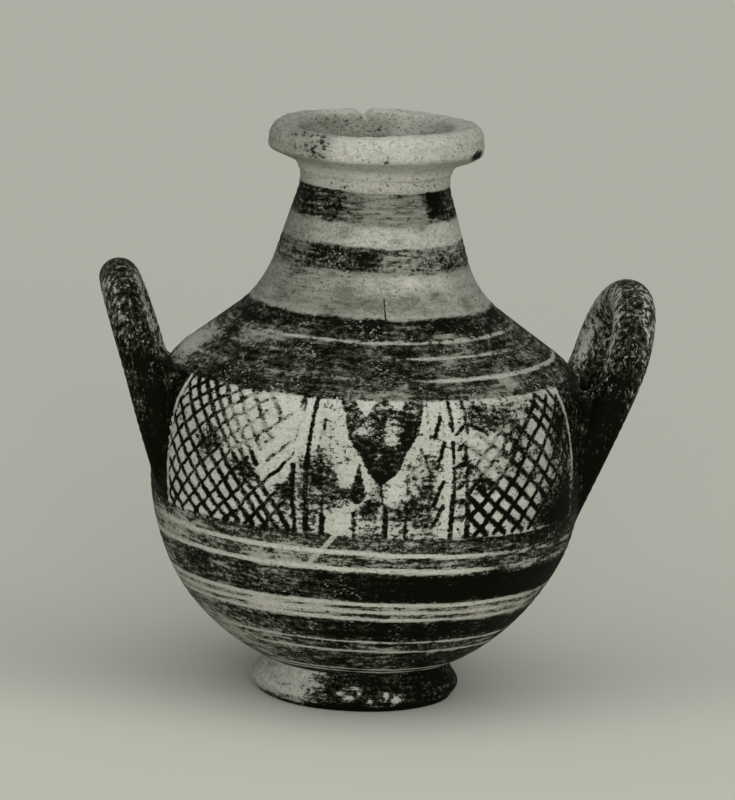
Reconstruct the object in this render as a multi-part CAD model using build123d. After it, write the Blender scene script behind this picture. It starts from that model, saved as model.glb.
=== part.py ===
"""A small three-handled water jar (hydria) of wheel-thrown ceramic, in millimetres.

The jar stands on +Z with its origin at the centre of the foot's resting ring. The painted front
faces -Y, the two lifting handles stand on the belly at -X and +X, and the pouring handle is at +Y.
Each piece is one that a potter forms by itself and lutes to its neighbours with slip.
"""

import os
from math import asin, cos, degrees, radians, sin, tan

from build123d import *

# Wall of the thrown pieces, and the ridge on the rim of each that seats in the groove of the next
WALL = 5.0
JOINT_RIDGE = 2.0

# Bowl: a flat spot at the bottom, then a quarter circle up to the belly
FLOOR_HEIGHT = 7.0
BOTTOM_FLAT_RADIUS = 4.4
BOWL_ARC = 71.0

# Shoulder: a nearly upright wall, a round turn and a straight slope up to the neck
BELLY_WALL_ARC = 308.0
BELLY_WALL_LEAN = 5.2
SHOULDER_ARC = 22.0
SHOULDER_SLOPE = 36.8

# Neck: a hollow turn out of the shoulder, a cone, and a soft turn to upright at the throat
NECK_BASE_ARC = 38.0
NECK_TAPER = 16.9
NECK_CONE_LENGTH = 23.3
THROAT_ARC = 16.0
THROAT_RADIUS = 25.8

# Mouth: a flaring collar that runs out into a thick rounded lip, with a funnel inside
COLLAR_HEIGHT = 5.6
COLLAR_ARC = 7.0
LIP_UNDERSIDE_RISE = 4.7
LIP_RADIUS = 37.0
LIP_THICKNESS = 8.8
LIP_OUTER_LEAN = 0.6
LIP_LOWER_ROUND = 3.2
LIP_UPPER_ROUND = 4.2
LIP_WIDTH = 10.0
LIP_TOP_DROP = 1.6
LIP_INNER_ROUND = 3.0
FUNNEL_DEPTH = 11.0
FUNNEL_ARC = 14.0

# Foot ring: flared outside, hollow inside, seated on the round of the bowl
FOOT_SEAT_RADIUS = 32.6
FOOT_EDGE_RADIUS = 36.0
FOOT_EDGE_HEIGHT = 4.0
FOOT_EDGE_ROUND = 3.6
FOOT_FLARE_ARC = 16.0
FOOT_REST_RADIUS = 34.4
FOOT_REST_WIDTH = 6.0
FOOT_BORE_RADIUS = 25.0

# Lifting handles: a round coil bent to a tilted loop, with its ends turned into the wall
SIDE_HANDLE_DIAMETER = 15.2
SIDE_HANDLE_AZIMUTH = 92.0
SIDE_HANDLE_TILT = 17.6
SIDE_HANDLE_SPAN = 48.0
SIDE_HANDLE_TOP_HEIGHT = 148.0
SIDE_HANDLE_TOP_RADIUS = 89.1
SIDE_HANDLE_LEG = 36.0
SIDE_HANDLE_ELBOW_ARC = 16.0
SIDE_HANDLE_ELBOW_TURN = 52.0

# Pouring handle: an oval strap from the neck, out and straight down to the shoulder; its height on
# the neck is measured from where the neck's cone starts
BACK_HANDLE_WIDTH = 18.0
BACK_HANDLE_THICKNESS = 10.0
BACK_HANDLE_NECK_HEIGHT = 8.2
BACK_HANDLE_RISE = 20.0
BACK_HANDLE_ARM = 10.0
BACK_HANDLE_ARC = 15.0

# Luting: a ribbon of soft clay pressed round each handle root and bevelled down to the wall; an edge
# that lies off wall and handle by this share of the ribbon's height and width is the one to bevel
LUTING_WIDTH = 4.0
LUTING_HEIGHT = 4.0
LUTING_BEVEL = 3.2
FREE_EDGE_SHARE = 0.7

# Sizes that follow from the ones above
BELLY_RADIUS = BOTTOM_FLAT_RADIUS + BOWL_ARC
BELLY_HEIGHT = FLOOR_HEIGHT + BOWL_ARC
SHOULDER_TURN = 90 - SHOULDER_SLOPE - BELLY_WALL_LEAN
NECK_BASE_TURN = 90 - SHOULDER_SLOPE - NECK_TAPER


def slope_length():
    """Length of the shoulder's slope: what the turns leave of the way from belly to throat."""
    lean, steep, taper = (radians(a) for a in (BELLY_WALL_LEAN, 90 - SHOULDER_SLOPE, NECK_TAPER))
    belly_wall = BELLY_WALL_ARC * (1 - cos(lean))
    shoulder = SHOULDER_ARC * (cos(lean) - cos(steep))
    neck_base = NECK_BASE_ARC * (cos(taper) - cos(steep))
    cone = NECK_CONE_LENGTH * sin(taper)
    throat = THROAT_ARC * (1 - cos(taper))
    across = BELLY_RADIUS - THROAT_RADIUS - belly_wall - shoulder - neck_base - cone - throat
    return across / sin(steep)


def onward(edge, length):
    """Straight line that goes on from an edge's end."""
    return Line(edge @ 1, edge @ 1 + (edge % 1) * length)


def wall_section(inset):
    """Tangent chain of the wall, radius along X and height along Y, set in from the outside."""
    bottom = Line((0, FLOOR_HEIGHT + inset), (BOTTOM_FLAT_RADIUS, FLOOR_HEIGHT + inset))
    bowl = JernArc(bottom @ 1, bottom % 1, BOWL_ARC - inset, 90)
    belly_wall = JernArc(bowl @ 1, bowl % 1, BELLY_WALL_ARC - inset, BELLY_WALL_LEAN)
    turn = JernArc(belly_wall @ 1, belly_wall % 1, SHOULDER_ARC - inset, SHOULDER_TURN)
    slope = onward(turn, slope_length())
    neck_base = JernArc(slope @ 1, slope % 1, NECK_BASE_ARC + inset, -NECK_BASE_TURN)
    cone = onward(neck_base, NECK_CONE_LENGTH)
    throat = JernArc(cone @ 1, cone % 1, THROAT_ARC + inset, -NECK_TAPER)
    return {
        "lower_body": [bottom, bowl],
        "shoulder": [belly_wall, turn, slope],
        "neck": [neck_base, cone, throat],
    }


OUTSIDE = wall_section(0)
INSIDE = wall_section(WALL)
THROAT_HEIGHT = (OUTSIDE["neck"][-1] @ 1).Y


def turned(edges):
    """Solid turned about the jar's axis from a closed outline of radius and height."""
    return revolve(Plane.XZ * make_face(edges), Axis.Z)


def ridged_joint(name):
    """Roof-shaped joint line across the wall at the upper end of a thrown piece."""
    outer, inner = OUTSIDE[name][-1], INSIDE[name][-1]
    ridge = (outer @ 1 + inner @ 1) * 0.5 + (outer % 1) * JOINT_RIDGE
    return [Line(outer @ 1, ridge), Line(ridge, inner @ 1)]


def thrown_piece(name, start):
    """One thrown stretch of the wall from its starting line up to its ridged rim."""
    return turned([*start, *OUTSIDE[name], *ridged_joint(name), *INSIDE[name]])


def filled_jar(outset):
    """The jar up to its throat without the hollow, grown by an outset."""
    chain = [edge for stretch in wall_section(-outset).values() for edge in stretch]
    start, end = chain[0] @ 0, chain[-1] @ 1
    top = Line(end, (0, end.Y))
    return turned([*chain, top, Line(top @ 1, start)])


def mouth():
    """Collar flaring from the throat into a thick lip, whose roundings stay within half of it."""
    lip_bottom = THROAT_HEIGHT + COLLAR_HEIGHT + LIP_UNDERSIDE_RISE
    lip_top = lip_bottom + LIP_THICKNESS
    lower_round = min(LIP_LOWER_ROUND, LIP_THICKNESS / 2)
    upper_round = min(LIP_UPPER_ROUND, LIP_THICKNESS / 2)
    outline = FilletPolyline(
        (THROAT_RADIUS, THROAT_HEIGHT),
        (THROAT_RADIUS, THROAT_HEIGHT + COLLAR_HEIGHT),
        (LIP_RADIUS - LIP_OUTER_LEAN, lip_bottom),
        (LIP_RADIUS + LIP_OUTER_LEAN, lip_top),
        (LIP_RADIUS - LIP_WIDTH, lip_top - LIP_TOP_DROP),
        (THROAT_RADIUS - WALL, lip_top - FUNNEL_DEPTH),
        (THROAT_RADIUS - WALL, THROAT_HEIGHT),
        radius=[COLLAR_ARC, lower_round, upper_round, LIP_INNER_ROUND, FUNNEL_ARC],
    )
    return turned([*outline.edges(), *ridged_joint("neck")])


def bowl_bearing(radius):
    """Bearing in degrees of the bowl's outside at a radius, seen from the centre of its arc."""
    return degrees(asin((radius - BOTTOM_FLAT_RADIUS) / BOWL_ARC)) - 90


def foot_ring():
    """Flaring ring whose top is the round of the bowl that it is luted to.

    The rounding of its edge is at least the half circle from the resting face to the edge.
    """
    bore_bearing = bowl_bearing(FOOT_BORE_RADIUS)
    seat_turn = bowl_bearing(FOOT_SEAT_RADIUS) - bore_bearing
    seat = CenterArc((BOTTOM_FLAT_RADIUS, BELLY_HEIGHT), BOWL_ARC, bore_bearing, seat_turn)
    rest = Line((FOOT_REST_RADIUS - FOOT_REST_WIDTH, 0), (FOOT_REST_RADIUS, 0))
    edge = (FOOT_EDGE_RADIUS, FOOT_EDGE_HEIGHT)
    least_round = 0.51 * (Vector(*edge) - rest @ 1).length
    rounding = RadiusArc(rest @ 1, edge, -max(FOOT_EDGE_ROUND, least_round))
    flare = RadiusArc(edge, seat @ 1, FOOT_FLARE_ARC)
    bore = Line(seat @ 0, rest @ 0)
    return turned([rest, rounding, flare, seat, bore])


def swept(path, section, across):
    """Coil of clay with one section along a path, its width laid across a direction."""
    return sweep(Plane(path @ 0, x_dir=across, z_dir=path % 0) * section, path=path)


def luting(ribbon, jar, handle):
    """Ribbon cut to a collar round a handle root, with its free edge bevelled down to the wall."""
    collar = (ribbon & filled_jar(LUTING_HEIGHT)) - jar - handle
    free_edge = []
    for edge in collar.edges():
        middle = edge @ 0.5
        off_wall = jar.distance_to(middle) > FREE_EDGE_SHARE * LUTING_HEIGHT
        off_handle = handle.distance_to(middle) > FREE_EDGE_SHARE * LUTING_WIDTH
        if off_wall and off_handle:
            free_edge.append(edge)
    return collar.chamfer(LUTING_BEVEL, None, free_edge)


def side_handle_path():
    """Centreline of the right loop's rear half.

    From the top of the loop: half the bend, the leg, the elbow, and a stub that ends in the wall.
    """
    tilt = radians(SIDE_HANDLE_TILT)
    up = Vector(sin(tilt), 0, cos(tilt))
    rear = Vector(0, 1, 0)
    half_span = SIDE_HANDLE_SPAN / 2
    top = Vector(SIDE_HANDLE_TOP_RADIUS, 0, SIDE_HANDLE_TOP_HEIGHT - SIDE_HANDLE_DIAMETER / 2)
    bend_centre = top - up * half_span
    bend = ThreePointArc(
        top,
        bend_centre + (up + rear).normalized() * half_span,
        bend_centre + rear * half_span,
    )
    leg = onward(bend, SIDE_HANDLE_LEG)
    elbow_plane = Plane(leg @ 1, x_dir=-up, z_dir=rear)
    elbow = elbow_plane * JernArc((0, 0), (1, 0), SIDE_HANDLE_ELBOW_ARC, SIDE_HANDLE_ELBOW_TURN)
    stub = onward(elbow, SIDE_HANDLE_DIAMETER)
    return Wire([bend, leg, elbow, stub])


def side_handle(jar):
    """Right lifting handle and the luting round its rear root, before the turn to their azimuth."""
    path = side_handle_path()
    coil = swept(path, Circle(SIDE_HANDLE_DIAMETER / 2), (1, 0, 0))
    handle = coil + mirror(coil, Plane.XZ) - jar
    ribbon = swept(path, Circle(SIDE_HANDLE_DIAMETER / 2 + LUTING_WIDTH), (1, 0, 0))
    return handle, luting(ribbon, jar, handle)


def strap_collar(foot, wall, way):
    """Luting ring round a straight root of the strap, narrowing from the wall up to the strap.

    Given are the point where the root's middle leaves the wall, and the directions along the wall and
    along the root, all in the jar's section. Its sections lie parallel to the wall.
    """
    normal = Vector(wall.Y, -wall.X)
    stretch = 1 / way.dot(normal)
    sections = []
    for height in (-2 * LUTING_HEIGHT, LUTING_HEIGHT):
        spread = LUTING_WIDTH - LUTING_BEVEL * height / LUTING_HEIGHT
        centre = foot + way * (height * stretch)
        plane = Plane((0, centre.X, centre.Y), x_dir=(1, 0, 0), z_dir=(0, normal.X, normal.Y))
        across, along = BACK_HANDLE_WIDTH / 2, BACK_HANDLE_THICKNESS / 2 * stretch
        sections.append(plane * Ellipse(across + spread, along + spread))
    return loft(sections, ruled=True)


def back_handle(jar):
    """Pouring handle and the two lutings round its roots, on the neck and on the shoulder."""
    rise = radians(BACK_HANDLE_RISE)
    outward = Vector(cos(rise), sin(rise))
    cone, slope = OUTSIDE["neck"][1], OUTSIDE["shoulder"][-1]
    neck_foot = cone @ 0 + Vector(-tan(radians(NECK_TAPER)), 1) * BACK_HANDLE_NECK_HEIGHT
    arm = Line(neck_foot - outward * WALL, neck_foot + outward * BACK_HANDLE_ARM)
    bend = JernArc(arm @ 1, outward, BACK_HANDLE_ARC, -90 - BACK_HANDLE_RISE)
    leg = onward(bend, (bend @ 1).Y - BELLY_HEIGHT)
    drop = ((leg @ 0).X - (slope @ 1).X) * tan(radians(SHOULDER_SLOPE))
    shoulder_foot = Vector((leg @ 0).X, (slope @ 1).Y - drop)
    strap = Ellipse(BACK_HANDLE_WIDTH / 2, BACK_HANDLE_THICKNESS / 2)
    handle = swept(Plane.YZ * Wire([arm, bend, leg]), strap, (1, 0, 0)) - jar
    top = strap_collar(neck_foot, cone % 1, outward)
    bottom = strap_collar(shoulder_foot, slope % 1, Vector(0, 1))
    return handle, top - jar - handle, bottom - jar - handle


def all_pieces():
    """Every piece in its place, by node name."""
    axis_line = Line(INSIDE["lower_body"][0] @ 0, OUTSIDE["lower_body"][0] @ 0)
    pieces = {
        "foot_ring": foot_ring(),
        "lower_body": thrown_piece("lower_body", [axis_line]),
        "shoulder": thrown_piece("shoulder", ridged_joint("lower_body")),
        "neck": thrown_piece("neck", ridged_joint("shoulder")),
        "mouth": mouth(),
    }
    jar = filled_jar(0)
    handle, rear_luting = side_handle(jar)
    front_luting = mirror(rear_luting, Plane.XZ)
    turn_back = Rotation(0, 0, SIDE_HANDLE_AZIMUTH - 90)
    for name, piece in (
        ("handle", handle),
        ("handle_front_luting", front_luting),
        ("handle_rear_luting", rear_luting),
    ):
        placed = turn_back * piece
        pieces["right_" + name] = placed
        pieces["left_" + name] = mirror(placed, Plane.YZ)
    names = ("back_handle", "back_handle_top_luting", "back_handle_bottom_luting")
    pieces.update(zip(names, back_handle(jar)))
    return pieces


os.makedirs("parts", exist_ok=True)
for name, piece in all_pieces().items():
    export_step(piece, f"parts/{name}.step")
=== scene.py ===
"""Looks of a small three-handled water jar (hydria) of painted ceramic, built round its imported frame.

Shapes are worked out in millimetres and put into meshes in metres. A place on the jar is a bearing,
in degrees from the painted front (-Y) towards +X, and a height above the floor.
"""

import bpy
import numpy as np
from mathutils import Matrix, Vector


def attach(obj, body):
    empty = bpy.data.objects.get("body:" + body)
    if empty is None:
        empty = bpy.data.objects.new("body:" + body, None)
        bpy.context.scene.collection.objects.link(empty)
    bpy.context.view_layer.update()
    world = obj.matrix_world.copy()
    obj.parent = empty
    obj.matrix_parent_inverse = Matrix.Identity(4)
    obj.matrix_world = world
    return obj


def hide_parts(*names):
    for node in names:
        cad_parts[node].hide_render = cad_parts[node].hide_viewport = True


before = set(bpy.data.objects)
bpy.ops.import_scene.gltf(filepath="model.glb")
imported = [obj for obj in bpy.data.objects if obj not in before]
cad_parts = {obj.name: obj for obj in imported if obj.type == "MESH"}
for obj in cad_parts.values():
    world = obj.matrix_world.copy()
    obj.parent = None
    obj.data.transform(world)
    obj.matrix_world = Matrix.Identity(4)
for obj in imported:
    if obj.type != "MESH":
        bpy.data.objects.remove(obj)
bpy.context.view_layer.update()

# Lower body
# A bowl thrown on the wheel in pale clay, coated with pale slip and painted with dark slip in bands
# while it turned. It carries the jar's floor, and its rim is luted to the shoulder at the belly.
WALL = 5.0
FLOOR_HEIGHT = 7.0
BOWL = [(4.4, 0), (71.0, 90)]
BOWL_ROW = 0.7
FINE_ROW = 0.5
COARSE_ROW = 3.0
METRES = 0.001
SIDE_BEARING = 95
FRONT_AND_BACK = (-SIDE_BEARING, SIDE_BEARING, 360 - SIDE_BEARING)
SHARP_EDGE = 40


def wall_line(start, heading, stretches, inset, spacing):
    """Line of a wall's section, as points of radius and height.

    A stretch is a length with no turn, or the radius of an arc with its turn in degrees. The point at
    a share of a stretch is the end of a chord along the mean of the headings at its two ends, as long
    as the way along the stretch times the sine of half the turn over half the turn. An inset moves
    the line to the left: it shortens arcs that turn left and lengthens those that turn right.
    """
    points = [np.array([start], float)]
    for size, turn in stretches:
        way = np.radians(abs(turn)) * (size - inset * np.sign(turn)) if turn else size
        share = np.linspace(0, 1, max(2, round(way / spacing)) + 1)[1:, None]
        half = np.radians(turn) * share / 2
        mean = np.radians(heading) + half
        chord = way * share * np.sinc(half / np.pi)
        points.append(points[-1][-1] + chord * np.hstack([np.cos(mean), np.sin(mean)]))
        heading += turn
    return np.vstack(points)


def bearings(limits, counts):
    """Bearings round the jar: each stretch between two limits has its own count at even steps."""
    stretches = zip(limits[:-1], limits[1:], counts)
    return np.concatenate(
        [np.linspace(start, end, count, endpoint=False) for start, end, count in stretches]
    )


def signed(bearing):
    """Bearing brought to between -180 and 180 degrees."""
    return np.where(bearing > 180, bearing - 360, bearing)


def turned(section, around):
    """Grid of a turned shape: each point of the section, at its radius, on every bearing."""
    angle = np.radians(around)[None, :]
    radius, height = section[:, :1], section[:, 1:]
    return np.stack(
        [radius * np.sin(angle), -radius * np.cos(angle), height + 0 * angle], axis=-1
    )


def fade(value, start, end):
    """Smooth step from 0 at the start to 1 at the end, which may lie either side of it."""
    share = np.clip((value - start) / (end - start), 0, 1)
    return share * share * (3 - 2 * share)


def within(value, low, high, soft):
    """1 between two values, fading to 0 over a soft edge at each."""
    return fade(value, low - soft, low + soft) * fade(value, high + soft, high - soft)


def to_and_fro(bearing):
    """Bearing that runs back from the handles, so that what it rules meets itself behind."""
    return np.degrees(np.arcsin(np.sin(np.radians(bearing))))


def opposite(bearing):
    """Bearing in front, or behind the handles the bearing seen from behind."""
    return np.where(np.abs(bearing) > SIDE_BEARING, bearing - 180 * np.sign(bearing), bearing)


def blot(bearing, height, middle, reach):
    """Round patch that fades as a bell curve from its middle, with a reach each way."""
    sideways = (bearing - middle[0]) / reach[0]
    upward = (height - middle[1]) / reach[1]
    return np.exp(-(sideways**2) - upward**2)


def daubed(load, bearing, height, daubs):
    """Load with daubs put on: each is a blot's middle and reach, and how much it adds."""
    for middle, reach, share in daubs:
        load = load + share * blot(bearing, height, middle, reach)
    return load


def rubbed(load, bearing, height, rubs):
    """Load with rubs taken out: each is a blot's middle and reach, and the share it takes."""
    for middle, reach, share in rubs:
        load = load * (1 - share * blot(bearing, height, middle, reach))
    return load


def zoned(load, bearing, height, zones):
    """Load with zones put on: each has limits and a soft edge across and upward, and what it adds."""
    for across, upward, share in zones:
        load = load + share * within(bearing, *across) * within(height, *upward)
    return load


def hand_made(points):
    """Moves the points of a true turned jar to where a hand-thrown one has them.

    The axis strays sideways with height in smooth steps. The wall swells and sinks in broad waves
    round it, and fingers leave fine ridges that climb slowly as they go round.
    """
    x, y, z = np.moveaxis(points, -1, 0)
    bearing = np.arctan2(x, -y)
    radius = np.hypot(x, y)
    stray = 0.5 * fade(z, 0, 14) - 0.35 + 0.9 * fade(z, 34, 60) - 1.8 * fade(z, 110, 150)
    waves = (
        0.3 * np.sin(2 * bearing + 0.021 * z + 1.1)
        + 0.2 * np.sin(3 * bearing - 0.034 * z + 2.6)
        + 0.12 * np.sin(7 * bearing + 0.09 * z)
    )
    ridges = 0.05 * np.sin(1.9 * z + bearing) * (1 + np.sin(0.31 * z + 2 * bearing))
    swell = 1 + (waves + ridges) * fade(radius, 4, 24) / np.maximum(radius, 1)
    return np.stack([x * swell + stray, y * swell, z], axis=-1)


def clay_piece(name, grid, paint, grime, joined=True):
    """Object with a face between each four neighbours of a grid that closes round its columns.

    The rows close on themselves where they are joined; otherwise the first and the last row each
    close in a fan on their middle point. Paint and grime, a number for every point, go into the
    mesh as attributes that the material reads; on the mouth's lip the grime also holds painted shade.
    """
    rows, columns = grid.shape[:2]
    number = np.arange(rows * columns, dtype=np.int32).reshape(rows, columns)
    lower = number if joined else number[:-1]
    upper = np.roll(number, -1, axis=0) if joined else number[1:]
    corners = [lower, np.roll(lower, -1, axis=1), np.roll(upper, -1, axis=1), upper]
    quads = np.stack(corners, axis=-1).reshape(-1, 4)
    points = grid.reshape(-1, 3)
    values = [paint.ravel(), grime.ravel()]
    fans = np.empty((0, 3), np.int32)
    if not joined:
        first, last = number[0], number[-1]
        hub = np.full(columns, number.size, np.int32)
        fans = np.vstack(
            [
                np.stack([np.roll(first, -1), first, hub], axis=-1),
                np.stack([last, np.roll(last, -1), hub + 1], axis=-1),
            ]
        )
        points = np.vstack([points, grid[0].mean(axis=0), grid[-1].mean(axis=0)])
        values = [np.append(v, [v[:columns].mean(), v[-columns:].mean()]) for v in values]
    corner_list = np.concatenate([quads.ravel(), fans.ravel()])
    fan_start = quads.size + 3 * np.arange(len(fans))
    starts = np.concatenate([4 * np.arange(len(quads)), fan_start]).astype(np.int32)
    mesh = bpy.data.meshes.new(name)
    mesh.vertices.add(len(points))
    mesh.vertices.foreach_set("co", (points * METRES).ravel())
    mesh.loops.add(len(corner_list))
    mesh.loops.foreach_set("vertex_index", corner_list)
    mesh.polygons.add(len(starts))
    mesh.polygons.foreach_set("loop_start", starts)
    for label, value in zip(("paint", "grime"), values):
        attribute = mesh.attributes.new(label, "FLOAT", "POINT")
        attribute.data.foreach_set("value", value.astype(np.float32))
    mesh.update(calc_edges=True)
    mesh.validate()
    mesh.shade_smooth()
    mesh.set_sharp_from_angle(angle=np.radians(SHARP_EDGE))
    piece = bpy.data.objects.new(name, mesh)
    bpy.context.scene.collection.objects.link(piece)
    return piece


def seat(piece, node, material):
    """Gives a piece its material and its place in the frame, where it stands for a node."""
    piece.data.materials.append(material)
    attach(piece, "root")
    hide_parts(node)


BELLY_DEGREE = 1.316
BRUSH_EDGE = 0.45
FULL_LOAD = 1.08


def brush_line(bearing, height, points, width):
    """Paint of a brush line through places on the belly: full within half its width of the line.

    The distance is the least one to the straight runs between neighbouring places, measured on the
    belly rolled out flat.
    """
    spot = np.stack([bearing * BELLY_DEGREE, height], axis=-1)
    knots = np.array(points, float) * (BELLY_DEGREE, 1)
    nearest = np.full(bearing.shape, np.inf)
    for start, end in zip(knots[:-1], knots[1:]):
        run = end - start
        share = np.clip((spot - start) @ run / (run @ run), 0, 1)
        gap = np.linalg.norm(spot - start - share[..., None] * run, axis=-1)
        nearest = np.minimum(nearest, gap)
    return fade(nearest, width / 2 + BRUSH_EDGE, width / 2 - BRUSH_EDGE)


def uprights(bearing, first, step, width):
    """Paint of a row of upright brush lines at even steps from the first one's bearing."""
    gap = np.abs(((bearing - first) / step + 0.5) % 1 - 0.5) * step * BELLY_DEGREE
    return fade(gap, width / 2 + BRUSH_EDGE, width / 2 - BRUSH_EDGE)


# Heights and bearings of the pale lines that bound the painted panel, then the lattices' brush lines.
LEFT_OUTLINE = (
    (74, 83, 91, 97, 101, 104.5, 108, 111, 114, 117.6),
    (-70.4, -71.3, -71.3, -71, -70.2, -69.3, -68.2, -67.1, -66.4, -66),
)
RIGHT_OUTLINE = (
    (75, 85, 91, 95.5, 98, 102, 104.5, 108, 112, 117),
    (64.8, 65.5, 64.6, 63.5, 62.9, 61.8, 61, 59.8, 59.1, 58.7),
)
FALLING_LEFT = (
    ((-70.6, 75.4), (-67.2, 72)),
    ((-71.2, 80.6), (-66, 75.2), (-62.6, 72)),
    ((-71.4, 87.6), (-65.4, 81.5), (-59.4, 75.5), (-56, 72)),
    ((-71.4, 96), (-65.6, 88.5), (-59.9, 82), (-53.5, 75.3), (-49.9, 72)),
    ((-70, 104.6), (-66.2, 97.5), (-60.4, 89.7), (-54, 82), (-47.8, 75.3), (-44.6, 72)),
    ((-67, 108.5), (-63.2, 101.5), (-60.4, 97), (-54.8, 89.8), (-48.8, 82), (-43.1, 75), (-40.7, 72)),
    ((-65.2, 115), (-61.5, 108.5), (-57.2, 102), (-51.5, 93), (-45.9, 85.3), (-40.5, 77.5),
     (-36.3, 71.5)),
    ((-62.3, 117), (-58, 111), (-53.6, 104.4), (-46.4, 93), (-40.3, 83.5), (-35.6, 76.5), (-32.6, 72)),
    ((-58.3, 117), (-52.8, 110), (-48, 102), (-43.7, 95), (-38.2, 86), (-33.2, 78), (-29.3, 72)),
    ((-54, 117), (-50.1, 111.5), (-45.7, 104), (-41.3, 96.5), (-38, 91), (-31.7, 82), (-26, 72)),
    ((-49.8, 117), (-45.6, 110.5), (-41.5, 102.5), (-38.5, 97.5), (-36, 92.5)),
    ((-45, 117), (-42.3, 112.5), (-39.5, 107), (-37, 102), (-35, 98)),
    ((-40, 117), (-37.4, 113), (-35, 107.5), (-32.5, 103)),
    ((-35, 117.5), (-32, 113.5), (-29.5, 109)),
)
RISING_LEFT = (
    ((-66.5, 108), (-62.3, 113.4), (-57, 117.2)),
    ((-68.8, 100), (-63.3, 106.8), (-56.6, 112.6), (-50.5, 117)),
    ((-71.4, 89.4), (-64.8, 99.3), (-57.5, 106.4), (-51.9, 111.5), (-46.4, 114.8), (-42.5, 117.2)),
    ((-71.4, 80.6), (-65.1, 91.6), (-58.7, 98.9), (-52, 106), (-47.2, 109.8), (-41, 114.4),
     (-37.5, 117)),
    ((-70.8, 73.4), (-64.6, 83.9), (-58.8, 91.9), (-51.9, 99), (-47.7, 104.3), (-42.3, 108.5),
     (-35, 114.5)),
    ((-67, 71.8), (-61.4, 80.4), (-55.9, 87.9), (-49.7, 94.8), (-45.5, 100.3), (-40.4, 104.5),
     (-34, 111)),
    ((-62.5, 72), (-58.2, 77), (-52.9, 84), (-47.5, 91.3), (-43.5, 97), (-37.5, 101.3), (-27, 111)),
    ((-57, 71.5), (-52, 77.2), (-47.3, 83.5), (-42.5, 90.2), (-38.8, 94.5)),
    ((-50.5, 71.5), (-46.5, 76.5), (-41.5, 82.5), (-37, 89.5)),
    ((-46, 71.5), (-41.4, 75.4), (-37.5, 82), (-34, 86.6), (-29, 92.5), (-25.6, 98)),
    ((-38.5, 71.5), (-36.3, 75), (-32.7, 80), (-29.5, 85)),
    ((-33.5, 71.5), (-30.5, 76.5), (-27.5, 81)),
    ((-33, 94.5), (-29.8, 98), (-26.5, 101.8)),
    ((-34, 100.3), (-31.3, 102.5)),
)
FALLING_RIGHT = (
    ((22, 77.5), (25.6, 73.2), (27.8, 71)),
    ((22, 84), (25.1, 80.3), (28.1, 76.7), (33.5, 71)),
    ((24.5, 87.5), (27.4, 84), (30.4, 80.5), (33.8, 77), (37.8, 73.4), (40, 71)),
    ((26, 91.5), (29.5, 87.8), (36.2, 80.7), (40, 76.5), (45.5, 71)),
    ((29, 94.8), (32, 92), (35.4, 88.4), (39.3, 84.3), (46.1, 76.5), (49.3, 73)),
    ((33.5, 97.5), (37.7, 93.2), (41.8, 88.8), (45.8, 84.5), (52.5, 76.5)),
    ((36.5, 101.5), (39.8, 98), (44.2, 93.3), (48.4, 88.4), (55, 81)),
    ((37.6, 107), (42.7, 101.8), (46.8, 97.8), (50.3, 93), (55, 87.8), (58, 84)),
    ((41.5, 112), (45.7, 108), (49.6, 103), (53.3, 98.3), (57, 93.8), (59.5, 90)),
    ((44.5, 114.5), (47.7, 110.8), (50.9, 107), (55.2, 101.5), (58.5, 97), (61, 92)),
    ((47.5, 116), (50.5, 112.8), (53.7, 109), (57.2, 105), (60.3, 102), (62, 98)),
    ((54, 116.5), (57, 110.5), (60, 105.5)),
    ((20, 98), (24.5, 93.5), (26, 91.5)),
    ((22, 101.5), (26, 98.3), (29, 94.8)),
    ((24, 106), (28.5, 101.8), (33.5, 97.5)),
    ((29, 108.5), (33, 105), (36.5, 101.5)),
    ((33, 111.5), (37.6, 107)),
)
RISING_RIGHT = (
    ((34.5, 98.5), (37.6, 103.2), (40.3, 107.8), (43.2, 111.5), (47, 115.8)),
    ((22.5, 78), (26.4, 82.2), (30.7, 89.5), (35, 96), (37, 100)),
    ((22, 86.5), (26.5, 93), (31.5, 99.5), (35.5, 106)),
    ((22, 93), (27, 100), (31, 106), (34, 111)),
    ((24.3, 71.2), (26.8, 75), (31.4, 82.4), (37, 90.4), (41, 100), (44.4, 104.8), (52, 115)),
    ((30, 71.2), (32.7, 75.3), (37.8, 82.6), (43.3, 91.3), (46.5, 97), (50.3, 104), (57, 114)),
    ((36.5, 71.2), (41.5, 78.4), (46.9, 86.9), (52.2, 95.3), (56.5, 103.3), (59, 107.5)),
    ((42.5, 71.2), (47.5, 78.5), (53.2, 86.2), (58.2, 95), (61, 100.5)),
    ((48.5, 72), (52, 78), (56.5, 84.5), (62.5, 96)),
    ((54.5, 73), (58.5, 80), (62, 87)),
)


def lattice_paint(bearing, height):
    """Paint of the crossed brush lines in the panel's left and right fields, each drawn by hand.

    They are worn faint high in the left field and by the figure's side of the right one.
    """
    swayed = bearing + 0.16 * np.sin(0.9 * height + 0.5 * bearing)
    paint = 0 * bearing
    for lines, width in (
        (FALLING_LEFT, 1.8),
        (RISING_LEFT, 1.2),
        (FALLING_RIGHT, 1.8),
        (RISING_RIGHT, 1.7),
    ):
        for points in lines:
            paint = np.maximum(paint, brush_line(swayed, height, points, width))
    worn_left = 0.5 * within(bearing, -47, -20, 6) * fade(height, 92, 99)
    worn_right = 0.42 * within(bearing, 20, 36, 3) * fade(height, 88, 93)
    heavy = 0.25 * within(bearing, 20, 40, 5) * fade(height, 88, 84)
    return 1.12 * paint * (1 - worn_left - worn_right + heavy)


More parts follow.
